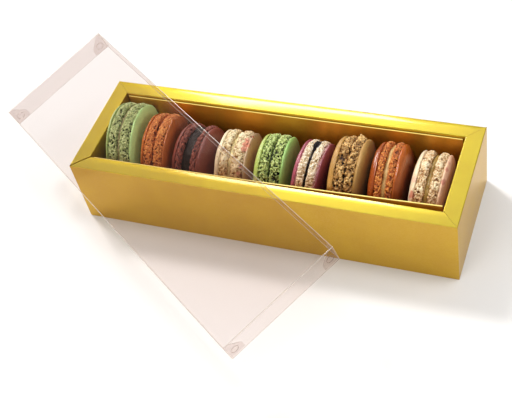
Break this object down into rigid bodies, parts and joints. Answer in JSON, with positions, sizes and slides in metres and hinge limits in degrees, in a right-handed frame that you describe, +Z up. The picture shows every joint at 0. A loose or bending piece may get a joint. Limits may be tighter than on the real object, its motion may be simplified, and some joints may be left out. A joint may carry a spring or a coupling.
{
  "type": "macaron box",
  "caption": "Open gilt card gift box holding a row of macarons on edge, with its shallow clear lid resting loose across one end.",
  "frame": {"origin": "Middle of the box's underside, on the surface it stands on.", "axes": "X along the box's length and the row of macarons, Y across its depth with the loose lid towards -Y, Z up."},
  "size_m": [0.252, 0.1667, 0.0559],
  "materials": {
    "gilt_card": "satin gilt",
    "liner_card": "satin gilt",
    "clear_film": "clear gloss",
    "shell_pistachio": "matt baked crust",
    "filling_pistachio": "soft cream",
    "shell_caramel": "matt baked crust",
    "filling_caramel": "soft cream",
    "shell_cocoa": "matt baked crust",
    "filling_cocoa": "soft cream",
    "shell_vanilla": "matt baked crust",
    "filling_vanilla": "soft cream",
    "shell_leaf_green": "matt baked crust",
    "filling_leaf_green": "soft cream",
    "shell_plum": "matt baked crust",
    "filling_plum": "soft cream",
    "shell_coffee": "matt baked crust",
    "filling_coffee": "soft cream",
    "shell_apricot": "matt baked crust",
    "filling_apricot": "soft cream",
    "shell_rose": "matt baked crust",
    "filling_rose": "soft cream"
  },
  "bodies": {
    "root": {"frame": "gilt_card", "liner": "liner_card", "lid": "clear_film", "macaron_1_right_shell": "shell_pistachio", "macaron_1_left_shell": "shell_pistachio", "macaron_1_filling": "filling_pistachio", "macaron_2_right_shell": "shell_caramel", "macaron_2_left_shell": "shell_caramel", "macaron_2_filling": "filling_caramel", "macaron_3_right_shell": "shell_cocoa", "macaron_3_left_shell": "shell_cocoa", "macaron_3_filling": "filling_cocoa", "macaron_4_right_shell": "shell_vanilla", "macaron_4_left_shell": "shell_vanilla", "macaron_4_filling": "filling_vanilla", "macaron_5_right_shell": "shell_leaf_green", "macaron_5_left_shell": "shell_leaf_green", "macaron_5_filling": "filling_leaf_green", "macaron_6_right_shell": "shell_plum", "macaron_6_left_shell": "shell_plum", "macaron_6_filling": "filling_plum", "macaron_7_right_shell": "shell_coffee", "macaron_7_left_shell": "shell_coffee", "macaron_7_filling": "filling_coffee", "macaron_8_right_shell": "shell_apricot", "macaron_8_left_shell": "shell_apricot", "macaron_8_filling": "filling_apricot", "macaron_9_right_shell": "shell_rose", "macaron_9_left_shell": "shell_rose", "macaron_9_filling": "filling_rose"}
  },
  "joints": []
}
